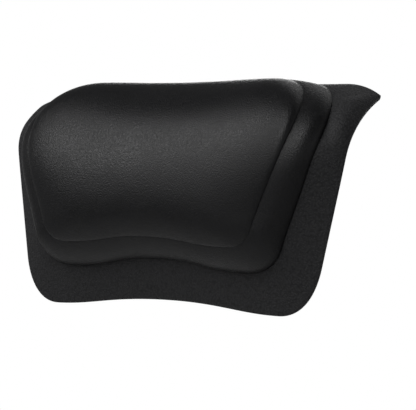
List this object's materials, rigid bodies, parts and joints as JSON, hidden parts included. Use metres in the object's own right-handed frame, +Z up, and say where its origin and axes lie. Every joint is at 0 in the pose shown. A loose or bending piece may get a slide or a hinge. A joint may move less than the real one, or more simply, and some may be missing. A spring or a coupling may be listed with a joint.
{
  "type": "bath pillow",
  "caption": "Moulded headrest with a saddle-shaped pad on a sloping flange that hooks over a tub's rim and holds to the wall by turning suction cups.",
  "frame": {"origin": "on the tub wall's plane, where the cups' lips lie, midway between the two suction cups", "axes": "+X across the pillow to the right as the bather sees it, +Y from the pillow into the tub wall, +Z up; the pad faces -Y"},
  "size_m": [0.3118, 0.0857, 0.1744],
  "materials": {
    "grained_foam": "matte self-skinned polyurethane with a coarse sand grain",
    "smooth_skin": "satin polyurethane skin with a fine grain",
    "inner_foam": "open-cell polyurethane foam",
    "moulded_plastic": "natural injection-moulded polypropylene",
    "clear_vinyl": "clear soft vinyl"
  },
  "bodies": {
    "pillow": {"flange_shell": "grained_foam", "pad_skin": "smooth_skin", "pad_foam": "inner_foam", "insert_board": "moulded_plastic", "cup_socket_left": "moulded_plastic", "cup_socket_right": "moulded_plastic"},
    "cup_left": {"suction_cup_left": "clear_vinyl"},
    "cup_right": {"suction_cup_right": "clear_vinyl"}
  },
  "joints": [
    {"name": "cup_left_turn", "type": "hinge", "parent": "pillow", "child": "cup_left", "pos_m": [-0.052, 0, 0], "axis": [0, 1, 0], "continuous": true},
    {"name": "cup_right_turn", "type": "hinge", "parent": "pillow", "child": "cup_right", "pos_m": [0.052, 0, 0], "axis": [0, 1, 0], "continuous": true}
  ]
}
